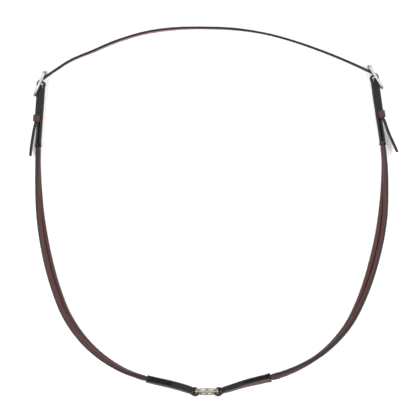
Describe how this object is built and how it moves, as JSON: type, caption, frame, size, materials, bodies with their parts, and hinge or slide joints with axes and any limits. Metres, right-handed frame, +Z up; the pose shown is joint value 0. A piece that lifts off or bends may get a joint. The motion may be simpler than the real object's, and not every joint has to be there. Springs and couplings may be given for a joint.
{
  "type": "martingale neck strap",
  "caption": "Leather martingale neck strap: flat strap over the neck, two buckles, rolled-leather side straps and a round ring at the breast.",
  "frame": {"origin": "middle of the bounding box, on the surface that the strap edges stand on", "axes": "+Z up out of the surface, across the straps' width; +Y from the breast ring towards the neck strap; +X from the left side strap towards the right one"},
  "size_m": [0.4621, 0.4632, 0.0344],
  "materials": {
    "edge_dyed_leather": "dyed edge",
    "havana_leather": "waxed grain",
    "keeper_leather": "waxed grain",
    "cotton_core": "twisted cord",
    "bright_steel": "polished",
    "ring_nickel": "polished nickel"
  },
  "bodies": {
    "leather": {"neck_strap": "edge_dyed_leather", "left_upper_chape": "edge_dyed_leather", "left_upper_filler": "edge_dyed_leather", "left_keeper": "keeper_leather", "left_outer_cord_cover": "havana_leather", "left_outer_cord_core": "cotton_core", "left_inner_cord_cover": "havana_leather", "left_inner_cord_core": "cotton_core", "left_lower_chape": "edge_dyed_leather", "left_lower_filler": "edge_dyed_leather", "right_upper_chape": "edge_dyed_leather", "right_upper_filler": "edge_dyed_leather", "right_keeper": "keeper_leather", "right_outer_cord_cover": "havana_leather", "right_outer_cord_core": "cotton_core", "right_inner_cord_cover": "havana_leather", "right_inner_cord_core": "cotton_core", "right_lower_chape": "edge_dyed_leather", "right_lower_filler": "edge_dyed_leather"},
    "left_buckle": {"left_buckle_frame": "bright_steel"},
    "left_tongue": {"left_buckle_tongue": "bright_steel"},
    "right_buckle": {"right_buckle_frame": "bright_steel"},
    "right_tongue": {"right_buckle_tongue": "bright_steel"},
    "ring": {"centre_ring": "ring_nickel"}
  },
  "joints": [
    {"name": "left_buckle_rock", "type": "hinge", "parent": "leather", "child": "left_buckle", "pos_m": [-0.2144, 0.159, 0.0135], "axis": [0, 0, 1], "range_deg": [-6, 2]},
    {"name": "left_tongue_swing", "type": "hinge", "parent": "left_buckle", "child": "left_tongue", "pos_m": [-0.2144, 0.159, 0.0135], "axis": [0, 0, 1], "range_deg": [0, 15]},
    {"name": "right_buckle_rock", "type": "hinge", "parent": "leather", "child": "right_buckle", "pos_m": [0.1993, 0.1669, 0.0135], "axis": [0, 0, -1], "range_deg": [-6, 5]},
    {"name": "right_tongue_swing", "type": "hinge", "parent": "right_buckle", "child": "right_tongue", "pos_m": [0.1993, 0.1669, 0.0135], "axis": [0, 0, -1], "range_deg": [0, 15]},
    {"name": "ring_spin", "type": "hinge", "parent": "leather", "child": "ring", "pos_m": [-0.0089, -0.225, 0.01721], "axis": [0, 0.9806, -0.1959], "continuous": true}
  ]
}
